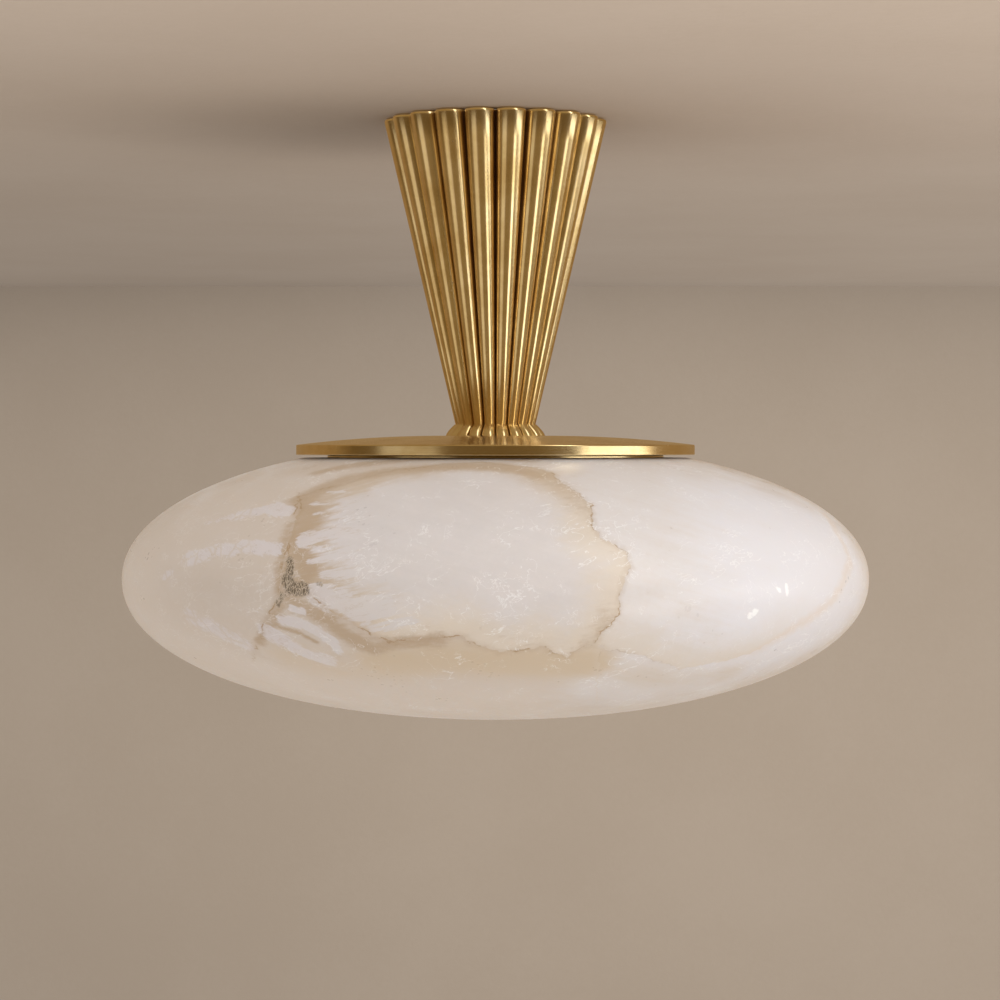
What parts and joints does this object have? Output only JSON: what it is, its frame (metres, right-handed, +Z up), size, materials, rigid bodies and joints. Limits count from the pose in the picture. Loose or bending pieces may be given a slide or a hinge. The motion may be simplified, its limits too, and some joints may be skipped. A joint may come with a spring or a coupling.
{
  "type": "semi flush ceiling light",
  "caption": "Semi flush ceiling light: a reeded brass cone and shallow domed cap carry a wide lens-shaped hollow alabaster shade over tilted capsule lamps.",
  "frame": {"origin": "centre of the ceiling plate's upper face, on the ceiling", "axes": "+Z up into the ceiling, -Y towards the viewer, X along the two box screws"},
  "size_m": [0.406, 0.4058, 0.3248],
  "materials": {
    "alabaster": "polished translucent alabaster, cloudy white with tan veins",
    "aged_brass": "satin aged brass, fine brushing along the reeds",
    "zinc_steel": "zinc plated steel",
    "terminal_brass": "plain turned brass",
    "black_rubber": "black rubber",
    "clear_silicone": "translucent silicone sheet",
    "white_nylon": "moulded nylon",
    "lead_silicone": "silicone sleeved heat resisting lead",
    "earth_green": "green and yellow insulated lead",
    "white_ceramic": "unglazed steatite",
    "nickel_pins": "nickel plated pins",
    "lamp_glass": "clear glass",
    "light_phosphor": "yellow phosphor over white board"
  },
  "bodies": {
    "fixture": {"cone_shell": "aged_brass", "collar_ring": "aged_brass", "dome_cap": "aged_brass", "carrier_plate": "aged_brass", "gallery_ring": "aged_brass", "ceiling_plate": "zinc_steel", "hanger_bracket": "zinc_steel", "bracket_screw": "zinc_steel", "bracket_washer": "zinc_steel", "bracket_nut": "zinc_steel", "stem_tube": "zinc_steel", "cone_washer": "zinc_steel", "cone_nut": "zinc_steel", "crown_spacer": "zinc_steel", "carrier_washer": "zinc_steel", "carrier_nut": "zinc_steel", "gallery_screw": "zinc_steel", "lamp_bracket": "zinc_steel", "lamp_bracket_nut": "zinc_steel", "holder_screw": "zinc_steel", "terminal_fixing_screw": "zinc_steel", "terminal_screw": "terminal_brass", "earth_screw": "terminal_brass", "earth_tag": "terminal_brass", "cable_grommet": "black_rubber", "terminal_block": "white_nylon", "tube_bush": "white_nylon", "stem_lead": "lead_silicone", "holder_lead_1": "lead_silicone", "holder_lead_2": "lead_silicone", "holder_lead_3": "lead_silicone", "earth_lead": "earth_green", "lamp_holder_1": "white_ceramic", "lamp_holder_2": "white_ceramic", "lamp_holder_3": "white_ceramic"},
    "shade": {"alabaster_shade": "alabaster", "neck_ring": "aged_brass", "upper_gasket": "clear_silicone", "lower_gasket": "clear_silicone", "ring_nut": "aged_brass"},
    "lamp_1": {"lamp_base_1": "white_ceramic", "lamp_pins_1": "nickel_pins", "lamp_glass_1": "lamp_glass", "lamp_light_1": "light_phosphor"},
    "lamp_2": {"lamp_base_2": "white_ceramic", "lamp_pins_2": "nickel_pins", "lamp_glass_2": "lamp_glass", "lamp_light_2": "light_phosphor"},
    "lamp_3": {"lamp_base_3": "white_ceramic", "lamp_pins_3": "nickel_pins", "lamp_glass_3": "lamp_glass", "lamp_light_3": "light_phosphor"}
  },
  "joints": [
    {"name": "shade_drop", "type": "slide", "parent": "fixture", "child": "shade", "axis": [0, 0, -1], "range_m": [0, 0.09]},
    {"name": "lamp_1_pull", "type": "slide", "parent": "fixture", "child": "lamp_1", "axis": [0, 0.5736, -0.8192], "range_m": [0, 0.0155]},
    {"name": "lamp_2_pull", "type": "slide", "parent": "fixture", "child": "lamp_2", "axis": [-0.4967, -0.2868, -0.8192], "range_m": [0, 0.0155]},
    {"name": "lamp_3_pull", "type": "slide", "parent": "fixture", "child": "lamp_3", "axis": [0.4967, -0.2868, -0.8192], "range_m": [0, 0.0155]}
  ]
}
